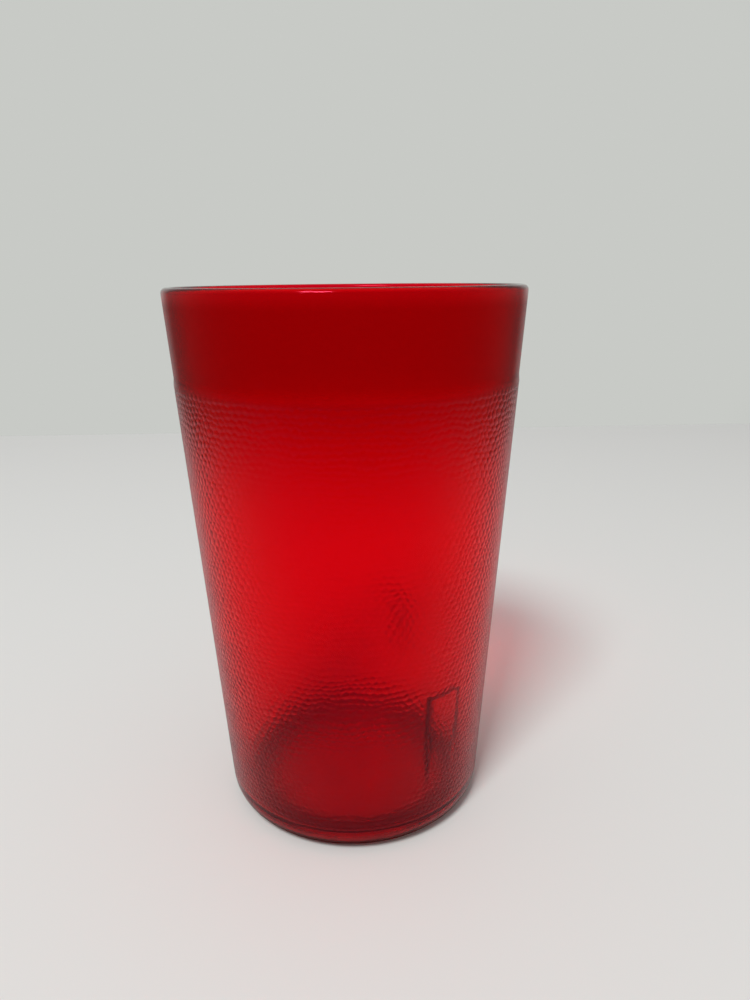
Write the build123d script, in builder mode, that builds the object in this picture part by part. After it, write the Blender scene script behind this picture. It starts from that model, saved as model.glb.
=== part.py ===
from build123d import *

import os
from math import degrees, hypot

# A stacking tumbler, moulded in one piece from clear red plastic.
# Millimetres, +Z up. The origin is the centre of the foot, on the table.

# Overall form
cup_height = 113.0
mouth_diameter = 72.2  # outside of the smooth band, carried up to the top of the lip
base_diameter = 57.0  # outside of the grained wall, carried down to the table
wall_thickness = 2.0  # measured square to the smooth band
base_thickness = 4.0  # from the table to the inside floor
inside_bevel = 1.0  # between the inside floor and the wall
parting_rise = 0.5  # the lip's rounding ends this much higher inside, at the mould's parting edge

# Grained field on the outside wall
smooth_band_height = 17.0  # plain band between the lip and the grain
grain_height = 0.18  # how far the grained field stands proud of the band
grain_shoulder = 1.2  # height of the slope between the field and the band

# Foot and the recess under the base
foot_radius = 5.0  # rounding between the wall and the table
foot_ring_width = 2.4  # flat ring that the cup stands on
recess_depth = 1.2
recess_draft = 0.6  # how far the recess narrows over its depth

# Mark left by the moulding gate, at the centre of the recess
gate_diameter = 3.2
gate_height = 0.4

# Lugs inside the wall, on which the foot of a nested cup rests
lug_count = 3
lug_width = 7.0
lug_ledge_height = 33.6  # the ledge, above the table
lug_runout_height = 15.0  # where the upright face of the lug runs out into the sloping wall
lug_root_length = 4.0  # how far the lug goes on below that, inside the wall
lug_edge_radius = 0.4
first_lug_angle = -51.3  # degrees from +X

# The wall leans out by this much for each millimetre of height
foot_band_radius = base_diameter / 2 - grain_height
wall_slope = (mouth_diameter / 2 - foot_band_radius) / cup_height
slant = hypot(1, wall_slope)


def band_radius(height):
    """Radius of the smooth outside face at a height, carried down under the grain."""
    return foot_band_radius + wall_slope * height


def grained_radius(height):
    """Radius of the grained outside face at a height."""
    return band_radius(height) + grain_height


def inside_radius(height):
    """Radius of the inside face of the wall at a height."""
    return band_radius(height) - wall_thickness * slant


# The lip is one arc. It leaves the outside face smoothly, goes over the top of the cup
# and meets the inside face at the parting edge
lip_radius = (wall_thickness**2 + parting_rise**2) / (2 * wall_thickness)
lip_centre_height = cup_height - lip_radius
lip_centre_radius = band_radius(lip_centre_height) - lip_radius * slant
across_wall = Vector(1 / slant, -wall_slope / slant)
along_wall = Vector(wall_slope / slant, 1 / slant)
lip_outside = Vector(lip_centre_radius, lip_centre_height) + across_wall * lip_radius
lip_inside = lip_outside - across_wall * wall_thickness + along_wall * parting_rise

# The rounding of the foot meets the table here, and the flat ring lies inside that
foot_contact_radius = grained_radius(foot_radius) - foot_radius * slant
recess_mouth_radius = foot_contact_radius - foot_ring_width
recess_top_radius = recess_mouth_radius - recess_draft

grain_top = cup_height - smooth_band_height
grain_edge = grain_top - grain_shoulder
bevel_top = base_thickness + inside_bevel

# Lugs: section through one of them, and the angle that its width takes up
lug_face_radius = inside_radius(lug_runout_height)
lug_foot_height = lug_runout_height - lug_root_length
lug_root_depth = wall_thickness / 2
lug_arc = degrees(lug_width / lug_face_radius)

with BuildPart() as stacking_lug:
    with BuildSketch(Plane.XZ):
        with BuildLine():
            Polyline(
                (lug_face_radius, lug_foot_height),
                (lug_face_radius, lug_ledge_height),
                (inside_radius(lug_ledge_height) + lug_root_depth, lug_ledge_height),
                (inside_radius(lug_foot_height) + lug_root_depth, lug_foot_height),
                close=True,
            )
        make_face()
    revolve(axis=Axis.Z, revolution_arc=lug_arc)
    # Soften the two upright edges of the face that looks into the cup
    lug_face = stacking_lug.faces().filter_by(GeomType.CYLINDER)
    fillet(lug_face.edges().filter_by(Axis.Z), radius=lug_edge_radius)

with BuildPart() as tumbler:
    with BuildSketch(Plane.XZ):
        with BuildLine():
            # Recess under the base, rounded foot and grained wall
            Polyline((0, recess_depth), (recess_top_radius, recess_depth), (recess_mouth_radius, 0))
            FilletPolyline(
                (recess_mouth_radius, 0),
                (grained_radius(0), 0),
                (grained_radius(grain_edge), grain_edge),
                radius=foot_radius,
            )
            # Shoulder of the grain, smooth band and lip
            Polyline(
                (grained_radius(grain_edge), grain_edge),
                (band_radius(grain_top), grain_top),
                lip_outside,
            )
            TangentArc(lip_outside, lip_inside, tangent=along_wall)
            # Inside wall, bevel and floor
            Polyline(
                lip_inside,
                (inside_radius(bevel_top), bevel_top),
                (inside_radius(bevel_top) - inside_bevel, base_thickness),
                (0, base_thickness),
                (0, recess_depth),
            )
        make_face()
    revolve(axis=Axis.Z)
    # Stacking lugs, evenly spaced round the inside
    with PolarLocations(0, lug_count, start_angle=first_lug_angle - lug_arc / 2):
        add(stacking_lug.part)
    # Gate mark, hanging from the top of the recess
    with BuildSketch(Plane.XY.offset(recess_depth)):
        Circle(gate_diameter / 2)
    extrude(amount=-gate_height)

tumbler.part.label = "tumbler"

os.makedirs("parts", exist_ok=True)
export_step(tumbler.part, "parts/tumbler.step")
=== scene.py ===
import random
from math import asin, atan2, cos, hypot, pi, radians, sin, tau

import bmesh
import bpy
from bpy.props import FloatProperty, FloatVectorProperty, IntProperty, PointerProperty
from mathutils import Matrix, Vector, noise


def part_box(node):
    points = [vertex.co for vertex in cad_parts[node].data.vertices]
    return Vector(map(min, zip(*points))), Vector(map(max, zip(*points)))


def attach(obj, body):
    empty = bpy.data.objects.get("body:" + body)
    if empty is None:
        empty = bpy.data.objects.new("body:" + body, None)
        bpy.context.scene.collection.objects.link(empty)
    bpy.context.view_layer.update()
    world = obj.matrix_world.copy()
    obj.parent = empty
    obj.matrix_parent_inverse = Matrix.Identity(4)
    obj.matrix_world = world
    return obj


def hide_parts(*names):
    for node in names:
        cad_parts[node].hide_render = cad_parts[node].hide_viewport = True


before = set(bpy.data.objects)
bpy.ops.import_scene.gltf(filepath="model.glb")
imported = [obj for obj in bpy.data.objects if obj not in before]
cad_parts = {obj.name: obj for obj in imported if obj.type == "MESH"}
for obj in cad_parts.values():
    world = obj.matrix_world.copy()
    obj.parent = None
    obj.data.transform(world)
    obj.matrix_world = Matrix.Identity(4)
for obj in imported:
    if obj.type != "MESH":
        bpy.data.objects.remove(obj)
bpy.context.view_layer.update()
CUP_LOW, CUP_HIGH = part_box("tumbler")

# How far a corner of a pebble may stray from its place, as a share of a row and of a column of the grid
ROW_STRAY = 0.12
COLUMN_STRAY = 0.25

# How far the rows drift together, as a share of a row's height, and the length of such a drift
DRIFT_SHARE = 0.75
DRIFT_LENGTH = 0.0042

# Rows at both ends of the grain over which that drift sets in
DRIFT_ROWS = 4

# How far the corners of a row stand above or below it, as a share of a row's height
ROW_BEND = 1 / 6

# Height of the lowest pebbles, as a share of the highest
LOWEST_PEBBLE = 0.55

# Length over which the height of the pebbles changes, shorter than a pebble
HEIGHT_LENGTH = 0.0009

# Edges between faces that meet at less than this are shaded smooth
SMOOTH_ANGLE = radians(62.0)

# Lip radii below the top of the cup over which the band's painted shade and its dull skin set in
LIP_FADE = 3

# Where the painted shade and the dull skin on the foot's edge start to fade and how soon, as shares of the foot's
# rounding
FOOT_EDGE = 0.4
FOOT_EDGE_FADE = 0.5

# How strongly the plastic bends light
PLASTIC_IOR = 1.5

# Blur of the floor
FLOOR_ROUGHNESS = 0.6

# How far a direction points to +Y where the room starts to get brighter and where it is brightest,
# and the brightness of its dim part
DIM_END = 0.70
BRIGHT_START = 0.88
DIM_SHARE = 0.40

bl_info = {
    "name": "Clear Red Tumbler",
    "version": (1, 0, 0),
    "blender": (4, 5, 0),
    "location": "3D View > Sidebar > Tumbler",
    "description": "Models a pebble-grained stacking tumbler of clear red plastic and the stage that it stands on",
    "category": "Add Mesh",
}


def length(name, default, description):
    """A size in metres that a user may change."""
    return FloatProperty(name=name, default=default, description=description, unit="LENGTH", precision=5)


def angle(name, default, description):
    """An angle that is written in degrees and kept in radians."""
    return FloatProperty(name=name, default=radians(default), description=description, unit="ROTATION")


def colour(name, default, description):
    """A linear colour."""
    return FloatVectorProperty(
        name=name, default=default, description=description, subtype="COLOR", size=3, min=0.0, max=1.0
    )


class TumblerShape(bpy.types.PropertyGroup):
    """Sizes of the moulded cup."""

    base_diameter: length("Base diameter", 0.0570, "Outside of the grained wall, carried down to the table")
    wall_thickness: length("Wall thickness", 0.0020, "Measured square to the smooth band")
    base_thickness: length("Base thickness", 0.0040, "From the table to the inside floor")
    inside_bevel: length("Inside bevel", 0.0010, "Between the inside floor and the wall")
    parting_rise: length("Parting rise", 0.0005, "How much higher the lip's rounding ends inside")
    smooth_band: length("Smooth band", 0.0170, "Height of the plain band under the lip")
    grain_height: length("Grain height", 0.00018, "How far the grained field stands proud of the band")
    grain_shoulder: length("Grain shoulder", 0.0012, "Height of the slope between the field and the band")
    foot_radius: length("Foot radius", 0.0050, "Rounding between the wall and the table")
    foot_ring: length("Foot ring", 0.0024, "Width of the flat ring that the cup stands on")
    recess_depth: length("Recess depth", 0.0012, "Hollow under the base")
    recess_draft: length("Recess draft", 0.0006, "How far the recess narrows over its depth")
    gate_diameter: length("Gate diameter", 0.0032, "Mark that the moulding gate left under the base")
    gate_height: length("Gate height", 0.0004, "How far the gate mark hangs down")
    lug_width: length("Lug width", 0.0070, "Width of a stacking lug, along the wall")
    lug_ledge: length("Lug ledge", 0.0336, "Height of the ledge of a stacking lug above the table")
    lug_runout: length("Lug runout", 0.0150, "Height at which the lug's face runs out into the wall")
    lug_count: IntProperty(name="Lugs", default=3, min=0, description="Stacking lugs round the inside")
    lug_edge: length("Lug edge", 0.0004, "Width of the edges along the lug's face")
    first_lug: angle("First lug", -51.3, "Direction of the first lug from +X")
    columns: IntProperty(
        name="Columns", default=280, min=24, description="Faces round the cup, two to a pebble"
    )
    pebble_rows: IntProperty(
        name="Pebble rows", default=74, min=1, description="Rows of pebbles on the grained wall"
    )
    pebble_depth: length("Pebble depth", 0.000040, "How far the pebbles stand above the valleys between them")
    valley_width: length("Valley width", 0.00034, "Width of the valleys between the pebbles")
    pebble_seed: IntProperty(name="Pebble seed", default=7, description="Start of the pebbles' random places")


class TumblerFinish(bpy.types.PropertyGroup):
    """Colour, painted shade, clearness and gloss of the plastic."""

    tint: colour("Tint", (1.0, 0.0, 0.06), "Red of each surface")
    # Near-black red of the painted shade on the smooth band, the foot and one flank of each lug
    painted_shade_tint: colour("Deep tint", (0.05, 0.0, 0.001), "Red of the surfaces that let the least light through")
    # How strongly shade is painted on the smooth band; band_reach below is how far down that painted shade fades
    # out
    band_painted_shade: FloatProperty(
        name="Band depth",
        default=0.51,
        min=0.0,
        max=1.0,
        subtype="FACTOR",
        description="Deep tint of the smooth band",
    )
    band_reach: length("Band reach", 0.028, "Height over which the deep tint fades out below the smooth band")
    # How strongly shade is painted low on the wall and under the base; foot_reach below is how far up that painted
    # shade fades out
    foot_painted_shade: FloatProperty(
        name="Foot depth",
        default=0.36,
        min=0.0,
        max=1.0,
        subtype="FACTOR",
        description="Deep tint of the foot",
    )
    foot_reach: length("Foot reach", 0.040, "Height over which the deep tint fades out above the foot")
    # How strongly shade is painted along one flank of each lug; flank_reach below is how far it goes to both sides
    # of that flank
    flank_painted_shade: FloatProperty(
        name="Flank depth",
        default=0.95,
        min=0.0,
        max=1.0,
        subtype="FACTOR",
        description="Deep tint of one flank of each lug",
    )
    flank_reach: length("Flank reach", 0.0010, "How far the deep tint goes on both sides of that flank")
    gloss_tint: colour(
        "Gloss tint", (1.0, 0.05, 0.16), "Colour of what the plastic reflects from straight ahead"
    )
    stain: colour(
        "Stain", (0.99, 0.0, 0.45), "Colour of the light that is left after a path through the plastic"
    )
    stain_density: FloatProperty(
        name="Stain density",
        default=1500.0,
        min=0.0,
        description="How soon the plastic takes up light, per metre",
    )
    clearness: FloatProperty(
        name="Clearness",
        default=0.98,
        min=0.0,
        max=1.0,
        subtype="FACTOR",
        description="Share of the light let through",
    )
    haze: FloatProperty(
        name="Haze",
        default=0.08,
        min=0.0,
        max=1.0,
        subtype="FACTOR",
        description="Blur of the band and the lip",
    )
    inside_haze: FloatProperty(
        name="Inside haze",
        default=0.18,
        min=0.0,
        max=1.0,
        subtype="FACTOR",
        description="Blur of the inside",
    )
    grain_haze: FloatProperty(
        name="Grain haze",
        default=0.20,
        min=0.0,
        max=1.0,
        subtype="FACTOR",
        description="Blur of the grained face",
    )
    band_sheerness: FloatProperty(
        name="Band sheerness",
        default=0.6,
        min=0.0,
        max=1.0,
        subtype="FACTOR",
        description="Share of the band that does not shine",
    )
    sheerness: FloatProperty(
        name="Sheerness",
        default=0.28,
        min=0.0,
        max=1.0,
        subtype="FACTOR",
        description="Share of the grain that does not shine",
    )
    shade: colour("Shade", (0.60, 0.60, 0.60), "Light that each surface lets into the shadow")
    # Shadow colour used where the painted shade is strongest
    deep_shade: colour("Deep shade", (0.05, 0.05, 0.05), "The same where the tint is deepest")


class TumblerStage(bpy.types.PropertyGroup):
    """Floor, light and camera."""

    floor_reach: length("Floor reach", 0.4165, "From the cup's axis to the back edge of the floor")
    floor_size: length("Floor size", 0.66, "Side of the square floor")
    floor_colour: colour("Floor colour", (0.80, 0.80, 0.78), "Colour of the floor")
    backdrop: colour("Backdrop", (0.578, 0.591, 0.565), "Colour of the room behind the cup")
    room_light: FloatProperty(
        name="Room light", default=0.40, min=0.0, description="Brightness of the room's light"
    )
    key_power: FloatProperty(
        name="Key power", default=27.0, min=0.0, unit="POWER", description="Power of the key lamp"
    )
    key_size: length("Key size", 0.50, "Side of the square key lamp")
    key_distance: length("Key distance", 2.00, "From the cup to the key lamp")
    key_azimuth: angle("Key azimuth", 24.0, "How far the key lamp stands to the left of the viewer")
    key_elevation: angle("Key elevation", 54.4, "Height of the key lamp above the floor, as an angle")
    eye_distance: length("Eye distance", 0.15560, "From the cup's axis to the camera, along the floor")
    eye_height: length("Eye height", 0.11458, "From the floor to the camera")
    pitch: angle("Pitch", 16.687, "How far the camera looks down")
    yaw: angle("Yaw", 1.993, "How far the camera looks to the right of the axis")
    roll: angle("Roll", -0.570, "How far the camera leans")
    focal_share: FloatProperty(
        name="Focal share",
        default=0.745,
        min=0.1,
        description="Focal length as a share of the picture's height",
    )


class Section:
    """The cup's half section, worked out from its sizes and from the box of the solid."""

    def __init__(self, shape):
        self.shape = shape
        self.height = CUP_HIGH.z
        self.lip_radius = (shape.wall_thickness**2 + shape.parting_rise**2) / (2 * shape.wall_thickness)
        self.lip_centre_height = self.height - self.lip_radius
        self.foot_band_radius = shape.base_diameter / 2 - shape.grain_height
        self.slope = (CUP_HIGH.x - self.foot_band_radius) / self.lip_centre_height
        self.slant = hypot(1, self.slope)
        self.lean = atan2(self.slope, 1)
        self.lip_centre_radius = self.band_radius(self.lip_centre_height) - self.lip_radius * self.slant
        self.grain_top = self.height - shape.smooth_band
        self.grain_edge = self.grain_top - shape.grain_shoulder
        self.foot_contact = self.grained_radius(shape.foot_radius) - shape.foot_radius * self.slant
        self.grain_low = self.foot()[-1][1]
        self.row_height = (self.grain_edge - self.grain_low) / shape.pebble_rows
        self.slack = shape.grain_height / 6
        self.bevel_top = shape.base_thickness + shape.inside_bevel
        self.lug_face_radius = self.inside_radius(shape.lug_runout)
        self.lug_half_arc = shape.lug_width / self.lug_face_radius / 2
        self.lug_edge = shape.lug_edge / self.lug_face_radius

    def band_radius(self, height):
        """Radius of the smooth outside face, carried down under the grain."""
        return self.foot_band_radius + self.slope * height

    def grained_radius(self, height):
        """Radius of the grained outside face, in the middle of its relief."""
        return self.band_radius(height) + self.shape.grain_height

    def inside_radius(self, height):
        """Radius of the inside face of the wall."""
        return self.band_radius(height) - self.shape.wall_thickness * self.slant

    def below_lip(self, height):
        """How fully the band's painted shade and dull skin have set in at a height: none at the top of the lip,
        all below it.
        """
        return min(1.0, (self.height - height) / self.lip_radius / LIP_FADE)

    def beside_lugs(self, point):
        """Whether a point of the inside wall is as high as the lugs."""
        shape = self.shape
        sliver = shape.parting_rise / 16
        if not shape.lug_runout + sliver < point.z < shape.lug_ledge + shape.parting_rise / 4:
            return False
        return hypot(point.x, point.y) < self.inside_radius(point.z) + sliver

    def underside(self):
        """Gate mark, recess and foot ring, from the middle outwards."""
        shape = self.shape
        gate = shape.gate_diameter / 2
        mouth = self.foot_contact - shape.foot_ring
        return [
            (gate, shape.recess_depth),
            (mouth - shape.recess_draft, shape.recess_depth),
            (mouth, 0.0),
            (self.foot_contact, 0.0),
        ]

    def foot(self, steps=8):
        """Rounding from the table up to the wall."""
        radius = self.shape.foot_radius
        turn = pi / 2 - self.lean
        rings = []
        for step in range(1, steps + 1):
            bearing = -pi / 2 + turn * step / steps
            rings.append((self.foot_contact + radius * cos(bearing), radius + radius * sin(bearing)))
        return rings

    def band(self):
        """Shoulder of the grain and the smooth band, up to where the lip starts."""
        hold = self.shape.grain_shoulder
        lip_start = self.lip_centre_height - self.lip_radius * sin(self.lean)
        heights = (self.grain_top, self.grain_top + hold, lip_start - 2 * hold, lip_start - hold, lip_start)
        return [(self.grained_radius(self.grain_edge), self.grain_edge)] + [
            (self.band_radius(height), height) for height in heights
        ]

    def lip(self, steps=12):
        """One arc over the top of the wall, which ends at the parting edge inside."""
        start = -self.lean
        end = pi - self.lean - asin(self.shape.parting_rise / self.lip_radius)
        rings = []
        for step in range(1, steps + 1):
            bearing = start + (end - start) * step / steps
            rings.append(
                (
                    self.lip_centre_radius + self.lip_radius * cos(bearing),
                    self.lip_centre_height + self.lip_radius * sin(bearing),
                )
            )
        return rings

    def inside_heights(self):
        """Heights of the rings down the inside wall, close together at the lugs' edges and at the bevel."""
        ledge = self.shape.lug_ledge
        runout = self.shape.lug_runout
        hold = self.shape.parting_rise
        top = self.lip()[-1][1]
        above = [top - hold, (top + ledge) / 2, ledge + 4 * hold, ledge + hold, ledge + hold / 8]
        beside = [ledge, ledge - hold, (ledge + runout) / 2, runout]
        return above + beside + [(runout + self.bevel_top) / 2, self.bevel_top + hold, self.bevel_top]

    def inside(self):
        """Inside wall and the bevel round the floor."""
        rings = [(self.inside_radius(height), height) for height in self.inside_heights()]
        floor_radius = self.inside_radius(self.bevel_top) - self.shape.inside_bevel
        return rings + [(floor_radius, self.shape.base_thickness)]


def deselect_everything():
    """Clears the selection, so that an operator acts on the new piece alone."""
    if bpy.context.object and bpy.context.object.mode != "OBJECT":
        bpy.ops.object.mode_set(mode="OBJECT")
    bpy.ops.object.select_all(action="DESELECT")


def pick(piece, kind, test):
    """Selects the vertices, edges or faces of the mesh in edit mode that pass a test, and nothing else."""
    bpy.ops.mesh.select_mode(type={"verts": "VERT", "edges": "EDGE", "faces": "FACE"}[kind])
    bpy.ops.mesh.select_all(action="DESELECT")
    mesh = bmesh.from_edit_mesh(piece.data)
    for element in getattr(mesh, kind):
        if test(element):
            element.select_set(True)
    mesh.select_flush_mode()
    bmesh.update_edit_mesh(piece.data)


def grow_ring(start, end):
    """Extrudes the selected ring to the next radius and height of the section."""
    bpy.ops.mesh.extrude_region_move(TRANSFORM_OT_translate={"value": (0.0, 0.0, end[1] - start[1])})
    widen(end[0] / start[0])


def widen(factor):
    """Scales what is selected towards the cup's axis or away from it."""
    bpy.ops.transform.resize(value=(factor, factor, 1.0), center_override=(0.0, 0.0, 0.0))


def rough_body(section):
    """The cup's section swept round its axis ring by ring, with plain walls."""
    shape = section.shape
    first = (shape.gate_diameter / 2, shape.recess_depth - shape.gate_height)
    deselect_everything()
    bpy.ops.mesh.primitive_circle_add(
        vertices=shape.columns, radius=first[0], fill_type="TRIFAN", location=(0.0, 0.0, first[1])
    )
    cup = bpy.context.object
    cup.name = cup.data.name = "tumbler_body"
    bpy.ops.object.transform_apply(location=True, rotation=False, scale=False)
    bpy.ops.object.mode_set(mode="EDIT")
    pick(cup, "edges", lambda edge: edge.is_boundary)
    ring = first
    rings = section.underside() + section.foot() + section.band() + section.lip() + section.inside()
    for following in rings:
        grow_ring(ring, following)
        ring = following
    bpy.ops.mesh.edge_face_add()
    bpy.ops.mesh.select_all(action="SELECT")
    bpy.ops.mesh.normals_make_consistent(inside=False)
    return cup


def lug_offset(point, shape):
    """Angle from the middle of the nearest lug to a point of the mesh."""
    step = tau / max(shape.lug_count, 1)
    return (atan2(point.y, point.x) - shape.first_lug + step / 2) % step - step / 2


def raise_lugs(cup, section):
    """Draws the lugs' faces out of the inside wall, from the ledge down to where they run out."""
    shape = section.shape
    half = section.lug_half_arc
    edge = section.lug_edge
    column = tau / shape.columns
    mesh = bmesh.from_edit_mesh(cup.data)
    for vertex in mesh.verts:
        if not section.beside_lugs(vertex.co):
            continue
        offset = lug_offset(vertex.co, shape)
        reach = abs(offset)
        if reach > half + column:
            continue
        radius = hypot(vertex.co.x, vertex.co.y)
        if reach <= half and vertex.co.z <= shape.lug_ledge:
            radius = min(radius, section.lug_face_radius)
        # The columns at the lug's edges move to both ends of the flank and to the edge of the face
        seat = reach
        for shift, place in ((column, half + edge), (0.0, half), (-column, half - edge)):
            if half + shift - column < reach <= half + shift:
                seat = place
        bearing = atan2(vertex.co.y, vertex.co.x) - offset + (seat if offset > 0 else -seat)
        vertex.co = Vector((radius * cos(bearing), radius * sin(bearing), vertex.co.z))
    bmesh.update_edit_mesh(cup.data)


def lay_pebbles(cup, section):
    """Cuts the grained wall into uneven six-sided pebbles, with a valley round each of them."""
    shape = section.shape
    pick(cup, "edges", lambda edge: is_upright(edge, section))
    bpy.ops.mesh.subdivide(number_cuts=shape.pebble_rows - 1)
    pick(cup, "edges", lambda edge: is_spare(edge, section))
    bpy.ops.mesh.dissolve_edges(use_verts=False)
    loosen_rows(cup, section)
    pick(cup, "faces", lambda face: on_grain(face, section))
    bpy.ops.mesh.inset(
        thickness=shape.valley_width / 2, depth=0.0, use_individual=True, use_even_offset=False
    )


def place_in_grid(point, section):
    """Column of a corner of the grid, and the row that starts at its height."""
    shape = section.shape
    column = round(atan2(point.y, point.x) / tau * shape.columns)
    return column, round((point.z - section.grain_low) / section.row_height)


def is_spare(edge, section):
    """Whether an edge runs up the grained wall through the middle of a pebble."""
    if not is_upright(edge, section):
        return False
    column, row = place_in_grid(min((vertex.co for vertex in edge.verts), key=lambda point: point.z), section)
    return (column + row) % 2 == 1


def loosen_rows(cup, section):
    """Lets the rows wander, moves each corner a little and lowers it to the floor of the valleys."""
    shape = section.shape
    stray = ROW_STRAY * section.row_height
    turn = COLUMN_STRAY * tau / shape.columns
    draw = random.Random(shape.pebble_seed)
    noise.seed_set(shape.pebble_seed)
    mesh = bmesh.from_edit_mesh(cup.data)
    # The draws go by the grid, because the order of the vertices is not the same in every run
    for vertex in sorted(mesh.verts, key=lambda vertex: place_in_grid(vertex.co, section)):
        point = vertex.co
        radius = hypot(point.x, point.y)
        column, row = place_in_grid(point, section)
        if not 0 < row < shape.pebble_rows or radius < section.band_radius(point.z) - section.slack:
            continue
        bend = section.row_height * (ROW_BEND if (column + row) % 2 == 0 else -ROW_BEND)
        freedom = min(1.0, row / DRIFT_ROWS, (shape.pebble_rows - row) / DRIFT_ROWS)
        drift = noise.noise_vector(point / DRIFT_LENGTH) * (DRIFT_SHARE * section.row_height * freedom)
        height = point.z + bend + drift.z + draw.uniform(-stray, stray)
        bearing = atan2(point.y, point.x) + drift.x / radius + draw.uniform(-turn, turn)
        radius = section.grained_radius(height) - shape.pebble_depth / 2
        vertex.co = Vector((radius * cos(bearing), radius * sin(bearing), height))
    bmesh.update_edit_mesh(cup.data)


def on_grain(face, section):
    """Whether a face belongs to the grained wall."""
    slack = section.shape.grain_height
    middle = face.calc_center_median()
    if not section.grain_low < middle.z < section.grain_edge:
        return False
    return hypot(middle.x, middle.y) > section.band_radius(middle.z) - slack


def is_upright(edge, section):
    """Whether an edge runs up the grained wall."""
    slack = section.slack
    heights = [vertex.co.z for vertex in edge.verts]
    if min(heights) < section.grain_low - slack or max(heights) > section.grain_edge + slack:
        return False
    if max(heights) - min(heights) < slack:
        return False
    return all(
        hypot(vertex.co.x, vertex.co.y) > section.band_radius(vertex.co.z) - slack for vertex in edge.verts
    )


def grain_weight(point, section):
    """How much of the relief a point of the mesh gets: all on the grained wall, none anywhere else."""
    if not section.grain_low < point.z < section.grain_top:
        return 0.0
    if hypot(point.x, point.y) < section.band_radius(point.z) - section.slack:
        return 0.0
    above_foot = (point.z - section.grain_low) / section.shape.foot_radius * 2
    under_band = (section.grain_top - point.z) / section.shape.grain_shoulder
    return min(1.0, above_foot, under_band)


def haze_at(point, section, finish):
    """Blur of the plastic at a point of the mesh."""
    shape = section.shape
    middle = section.inside_radius(point.z) + shape.wall_thickness / 4
    if point.z > shape.base_thickness - shape.grain_height and hypot(point.x, point.y) < middle:
        return finish.inside_haze
    return finish.haze + (finish.grain_haze - finish.haze) * grain_weight(point, section)


def fade(share):
    """Smooth fall from 1 to 0 while the share goes from 0 to 1."""
    rest = min(1.0, max(0.0, 1.0 - share))
    return rest * rest * (3.0 - 2.0 * rest)


def foot_weight(point, section):
    """Weight of the foot's edge, for its painted shade and its dull skin, at a point: 1 on the lower part of the
    rounding, 0 near its top and above.
    """
    return fade((point.z / section.shape.foot_radius - FOOT_EDGE) / FOOT_EDGE_FADE)


def painted_shade_weight(point, section, finish):
    """How much painted shade a surface gets: on the smooth band, low on the wall and at the foot, and on one flank
    of each lug.
    """
    shape = section.shape
    radius = hypot(point.x, point.y)
    if section.beside_lugs(point):
        # Painted shade along one flank of each lug
        reach = -lug_offset(point, shape) - section.lug_half_arc
        return finish.flank_painted_shade if abs(reach) < finish.flank_reach / section.lug_face_radius else 0.0
    # Painted shade on the smooth band, fading out down the grained wall and up onto the lip
    above = fade((section.grain_top - point.z) / finish.band_reach) * finish.band_painted_shade
    above *= section.below_lip(point.z)
    # Painted shade low on the wall and under the base, fading out upwards from the foot
    below = fade((point.z - shape.foot_radius) / finish.foot_reach) * finish.foot_painted_shade
    # Painted shade on the lower part of the foot's rounding
    on_rounding = radius > section.foot_contact - shape.grain_height
    rounding = foot_weight(point, section) if on_rounding else 0.0
    across = (radius - section.inside_radius(point.z)) / (shape.wall_thickness * section.slant)
    if point.z < shape.base_thickness - shape.grain_height:
        across = 1.0
    return max(above, below, rounding) * min(1.0, max(0.0, across))


def dull_weight(point, section, finish):
    """Share of a surface that does not shine: some of the outside wall, and the edge of the foot."""
    shape = section.shape
    outside = section.inside_radius(point.z) + shape.wall_thickness / 2
    if point.z < shape.base_thickness - shape.grain_height:
        outside = section.foot_contact - shape.grain_height
    if hypot(point.x, point.y) < outside:
        return 0.0
    if point.z > section.grain_edge:
        return finish.band_sheerness * section.below_lip(point.z)
    return max(finish.sheerness, foot_weight(point, section))


def note_field(cup, name, values):
    """Keeps a number for each point of the mesh."""
    field = cup.data.attributes.new(name, "FLOAT", "POINT")
    field.data.foreach_set("value", values)


def pebble_height(middle):
    """Share of the full height that a pebble gets. It goes by its place, not by the order of the faces."""
    share = min(1.0, max(0.0, 0.5 + noise.noise(middle / HEIGHT_LENGTH)))
    return LOWEST_PEBBLE + (1.0 - LOWEST_PEBBLE) * share


def raise_pebbles(cup, section, finish):
    """Lifts the tops of the pebbles out of the valleys, each by its own height."""
    shape = section.shape
    tops = cup.vertex_groups.new(name="pebble_tops")
    for face in cup.data.polygons:
        if face.select:
            height = pebble_height(face.center) * grain_weight(face.center, section)
            tops.add(face.vertices, height, "REPLACE")
    points = [vertex.co.copy() for vertex in cup.data.vertices]
    note_field(cup, "haze", [haze_at(point, section, finish) for point in points])
    # Painted shade on the band, the foot and one flank of each lug
    note_field(cup, "deep", [painted_shade_weight(point, section, finish) for point in points])
    note_field(cup, "sheer", [dull_weight(point, section, finish) for point in points])
    lift = cup.modifiers.new("pebbles", "DISPLACE")
    lift.vertex_group = tops.name
    lift.strength = shape.pebble_depth
    lift.mid_level = 0.0
    bpy.ops.object.modifier_apply(modifier=lift.name)


def link(tree, source, target):
    """Joins two sockets."""
    tree.links.new(source, target)


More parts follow.
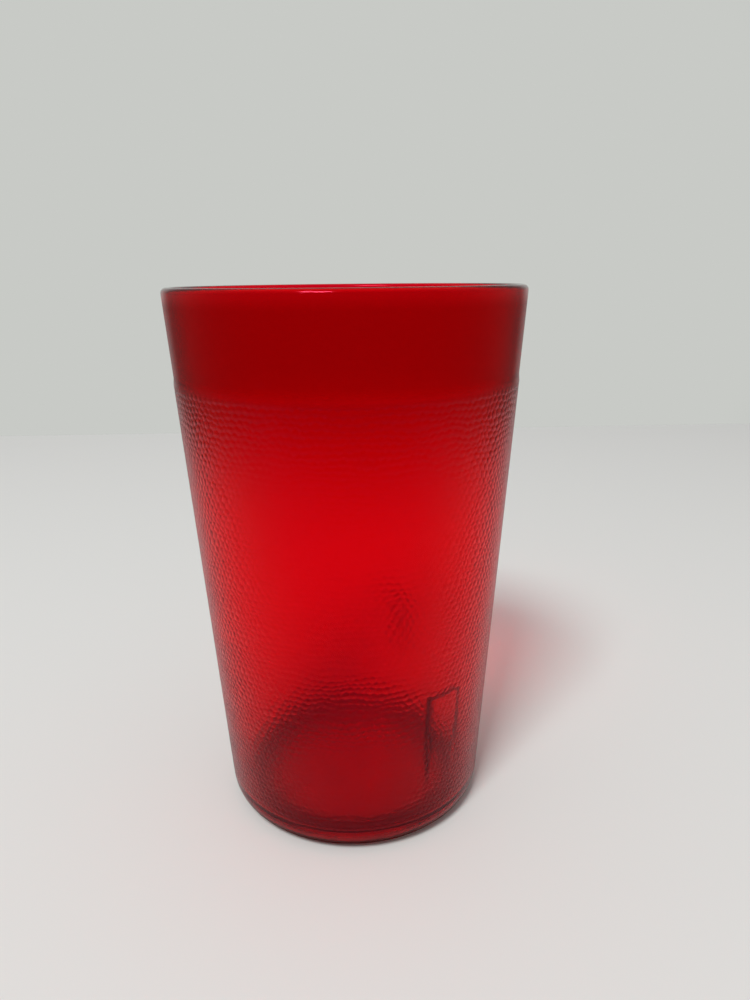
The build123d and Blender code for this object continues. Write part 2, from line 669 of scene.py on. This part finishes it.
def clear_red_plastic(finish):
    """Hazy clear plastic, stained red all through, with painted shade on the band, the foot and one lug flank, and
    a skin that shines less on the outside wall.
    """
    material = bpy.data.materials.new("clear_red_plastic")
    material.use_nodes = True
    tree = material.node_tree
    nodes = tree.nodes
    output = nodes["Material Output"]
    plastic = nodes["Principled BSDF"]
    plastic.inputs["Transmission Weight"].default_value = finish.clearness
    plastic.inputs["IOR"].default_value = PLASTIC_IOR
    plastic.inputs["Specular Tint"].default_value = (*finish.gloss_tint, 1.0)

    haze = nodes.new("ShaderNodeAttribute")
    haze.attribute_name = "haze"
    link(tree, haze.outputs["Fac"], plastic.inputs["Roughness"])

    # Painted shade: the base colour goes from the red tint towards a near-black red on the band, the foot and one
    # lug flank
    deep = nodes.new("ShaderNodeAttribute")
    deep.attribute_name = "deep"
    tint = nodes.new("ShaderNodeMix")
    tint.data_type = "RGBA"
    tint.inputs["A"].default_value = (*finish.tint, 1.0)
    tint.inputs["B"].default_value = (*finish.painted_shade_tint, 1.0)
    link(tree, deep.outputs["Fac"], tint.inputs["Factor"])
    link(tree, tint.outputs["Result"], plastic.inputs["Base Color"])

    # The Principled shader tints by the root of its colour, so the one beside it gets that root
    root = nodes.new("ShaderNodeGamma")
    root.inputs["Gamma"].default_value = 0.5
    link(tree, tint.outputs["Result"], root.inputs["Color"])
    dull = nodes.new("ShaderNodeBsdfRefraction")
    dull.inputs["IOR"].default_value = PLASTIC_IOR
    link(tree, root.outputs["Color"], dull.inputs["Color"])
    link(tree, haze.outputs["Fac"], dull.inputs["Roughness"])
    sheer = nodes.new("ShaderNodeAttribute")
    sheer.attribute_name = "sheer"
    skin = nodes.new("ShaderNodeMixShader")
    link(tree, sheer.outputs["Fac"], skin.inputs["Fac"])
    link(tree, plastic.outputs["BSDF"], skin.inputs[1])
    link(tree, dull.outputs["BSDF"], skin.inputs[2])

    passing = nodes.new("ShaderNodeBsdfTransparent")
    shade = nodes.new("ShaderNodeMix")
    shade.data_type = "RGBA"
    shade.inputs["A"].default_value = (*finish.shade, 1.0)
    shade.inputs["B"].default_value = (*finish.deep_shade, 1.0)
    # Where shade is painted, shadow rays also take the darker shade colour
    link(tree, deep.outputs["Fac"], shade.inputs["Factor"])
    link(tree, shade.outputs["Result"], passing.inputs["Color"])
    rays = nodes.new("ShaderNodeLightPath")
    surface = nodes.new("ShaderNodeMixShader")
    link(tree, rays.outputs["Is Shadow Ray"], surface.inputs["Fac"])
    link(tree, skin.outputs["Shader"], surface.inputs[1])
    link(tree, passing.outputs["BSDF"], surface.inputs[2])
    link(tree, surface.outputs["Shader"], output.inputs["Surface"])

    stain = nodes.new("ShaderNodeVolumeAbsorption")
    stain.inputs["Color"].default_value = (*finish.stain, 1.0)
    stain.inputs["Density"].default_value = finish.stain_density
    link(tree, stain.outputs["Volume"], output.inputs["Volume"])
    return material


class TUMBLER_OT_cup(bpy.types.Operator):
    """Models the tumbler in one piece: swept section, lugs, pebble grain and clear red plastic"""

    bl_idname = "tumbler.cup"
    bl_label = "Model Cup"
    bl_options = {"REGISTER", "UNDO"}

    def execute(self, context):
        shape = context.scene.tumbler_shape
        finish = context.scene.tumbler_finish
        section = Section(shape)
        cup = rough_body(section)
        raise_lugs(cup, section)
        lay_pebbles(cup, section)
        bpy.ops.object.mode_set(mode="OBJECT")
        raise_pebbles(cup, section, finish)
        bpy.ops.object.shade_smooth_by_angle(angle=SMOOTH_ANGLE)
        cup.data.materials.clear()
        cup.data.materials.append(clear_red_plastic(finish))
        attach(cup, "root")
        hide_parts("tumbler")
        return {"FINISHED"}


def floor_material(stage):
    """Plain pale floor."""
    material = bpy.data.materials.new("pale_floor")
    material.use_nodes = True
    shader = material.node_tree.nodes["Principled BSDF"]
    shader.inputs["Base Color"].default_value = (*stage.floor_colour, 1.0)
    shader.inputs["Roughness"].default_value = FLOOR_ROUGHNESS
    return material


def light_room(stage):
    """A pale room, bright behind the cup and dim elsewhere.

    Whatever is looked at or mirrored shows its walls, and everything else gets its light.
    """
    world = bpy.data.worlds.new("pale_room")
    bpy.context.scene.world = world
    world.use_nodes = True
    tree = world.node_tree
    nodes = tree.nodes
    seen = nodes["Background"]
    place = nodes.new("ShaderNodeTexCoord")
    axes = nodes.new("ShaderNodeSeparateXYZ")
    link(tree, place.outputs["Generated"], axes.inputs["Vector"])
    dimming = nodes.new("ShaderNodeMapRange")
    dimming.interpolation_type = "SMOOTHSTEP"
    dimming.inputs["From Min"].default_value = DIM_END
    dimming.inputs["From Max"].default_value = BRIGHT_START
    dimming.inputs["To Min"].default_value = DIM_SHARE
    dimming.inputs["To Max"].default_value = 1.0
    link(tree, axes.outputs["Y"], dimming.inputs["Value"])
    seen.inputs["Color"].default_value = (*stage.backdrop, 1.0)
    link(tree, dimming.outputs["Result"], seen.inputs["Strength"])

    lighting = nodes.new("ShaderNodeBackground")
    lighting.inputs["Color"].default_value = (1.0, 1.0, 1.0, 1.0)
    lighting.inputs["Strength"].default_value = stage.room_light

    rays = nodes.new("ShaderNodeLightPath")
    clear = nodes.new("ShaderNodeMath")
    clear.operation = "MAXIMUM"
    link(tree, rays.outputs["Is Glossy Ray"], clear.inputs[0])
    link(tree, rays.outputs["Is Transmission Ray"], clear.inputs[1])
    looks = nodes.new("ShaderNodeMath")
    looks.operation = "MAXIMUM"
    link(tree, rays.outputs["Is Camera Ray"], looks.inputs[0])
    link(tree, clear.outputs["Value"], looks.inputs[1])
    choice = nodes.new("ShaderNodeMixShader")
    link(tree, looks.outputs["Value"], choice.inputs["Fac"])
    link(tree, lighting.outputs["Background"], choice.inputs[1])
    link(tree, seen.outputs["Background"], choice.inputs[2])
    link(tree, choice.outputs["Shader"], nodes["World Output"].inputs["Surface"])


def add_key_lamp(stage):
    """Soft lamp above and to the left of the viewer, turned to the cup."""
    azimuth, elevation = stage.key_azimuth, stage.key_elevation
    ground = cos(elevation)
    way = Vector((-ground * sin(azimuth), -ground * cos(azimuth), sin(elevation)))
    middle = Vector((0.0, 0.0, CUP_HIGH.z / 2))
    bpy.ops.object.light_add(type="AREA", location=middle + way * stage.key_distance)
    lamp = bpy.context.object
    lamp.name = lamp.data.name = "key_lamp"
    lamp.rotation_euler = way.to_track_quat("Z", "Y").to_euler()
    lamp.data.size = stage.key_size
    lamp.data.energy = stage.key_power


def add_camera(stage):
    """Camera where the photograph was taken from."""
    bpy.ops.object.camera_add()
    camera = bpy.context.object
    camera.name = camera.data.name = "viewer"
    level = Vector((sin(stage.yaw), cos(stage.yaw), 0.0))
    ahead = level * cos(stage.pitch) - Vector((0.0, 0.0, sin(stage.pitch)))
    right = Vector((cos(stage.yaw), -sin(stage.yaw), 0.0))
    up = right.cross(ahead)
    across = right * cos(stage.roll) + up * sin(stage.roll)
    upright = up * cos(stage.roll) - right * sin(stage.roll)
    turn = Matrix((across, upright, -ahead)).transposed().to_4x4()
    place = Vector((0.0, -stage.eye_distance, stage.eye_height))
    camera.matrix_world = Matrix.Translation(place) @ turn
    camera.data.sensor_fit = "VERTICAL"
    camera.data.lens = stage.focal_share * camera.data.sensor_height
    camera.data.clip_start = stage.eye_distance / 100
    bpy.context.scene.camera = camera


class TUMBLER_OT_stage(bpy.types.Operator):
    """Sets up the floor, the room's light, the key lamp and the camera"""

    bl_idname = "tumbler.stage"
    bl_label = "Set Stage"
    bl_options = {"REGISTER", "UNDO"}

    def execute(self, context):
        stage = context.scene.tumbler_stage
        deselect_everything()
        middle = stage.floor_reach - stage.floor_size / 2
        bpy.ops.mesh.primitive_plane_add(size=stage.floor_size, location=(0.0, middle, CUP_LOW.z))
        floor = bpy.context.object
        floor.name = floor.data.name = "floor"
        bpy.ops.object.transform_apply()
        floor.data.materials.append(floor_material(stage))
        light_room(stage)
        add_key_lamp(stage)
        add_camera(stage)
        context.scene.view_settings.view_transform = "Standard"
        return {"FINISHED"}


class TUMBLER_PT_panel(bpy.types.Panel):
    """Steps and sizes of the tumbler"""

    bl_idname = "TUMBLER_PT_panel"
    bl_label = "Tumbler"
    bl_space_type = "VIEW_3D"
    bl_region_type = "UI"
    bl_category = "Tumbler"

    def draw(self, context):
        layout = self.layout
        for operator in (TUMBLER_OT_cup, TUMBLER_OT_stage):
            layout.operator(operator.bl_idname)
        for group in (context.scene.tumbler_shape, context.scene.tumbler_finish, context.scene.tumbler_stage):
            box = layout.box()
            for name in group.__annotations__:
                box.prop(group, name)


CLASSES = (
    TumblerShape,
    TumblerFinish,
    TumblerStage,
    TUMBLER_OT_cup,
    TUMBLER_OT_stage,
    TUMBLER_PT_panel,
)


def register():
    """Makes the classes and the scene's settings known."""
    for cls in CLASSES:
        bpy.utils.register_class(cls)
    bpy.types.Scene.tumbler_shape = PointerProperty(type=TumblerShape)
    bpy.types.Scene.tumbler_finish = PointerProperty(type=TumblerFinish)
    bpy.types.Scene.tumbler_stage = PointerProperty(type=TumblerStage)


def unregister():
    """Takes back what register did."""
    del bpy.types.Scene.tumbler_stage
    del bpy.types.Scene.tumbler_finish
    del bpy.types.Scene.tumbler_shape
    for cls in reversed(CLASSES):
        bpy.utils.unregister_class(cls)


def main():
    """Builds the cup and its stage."""
    register()
    bpy.ops.tumbler.cup()
    bpy.ops.tumbler.stage()


if __name__ == "__main__":
    main()
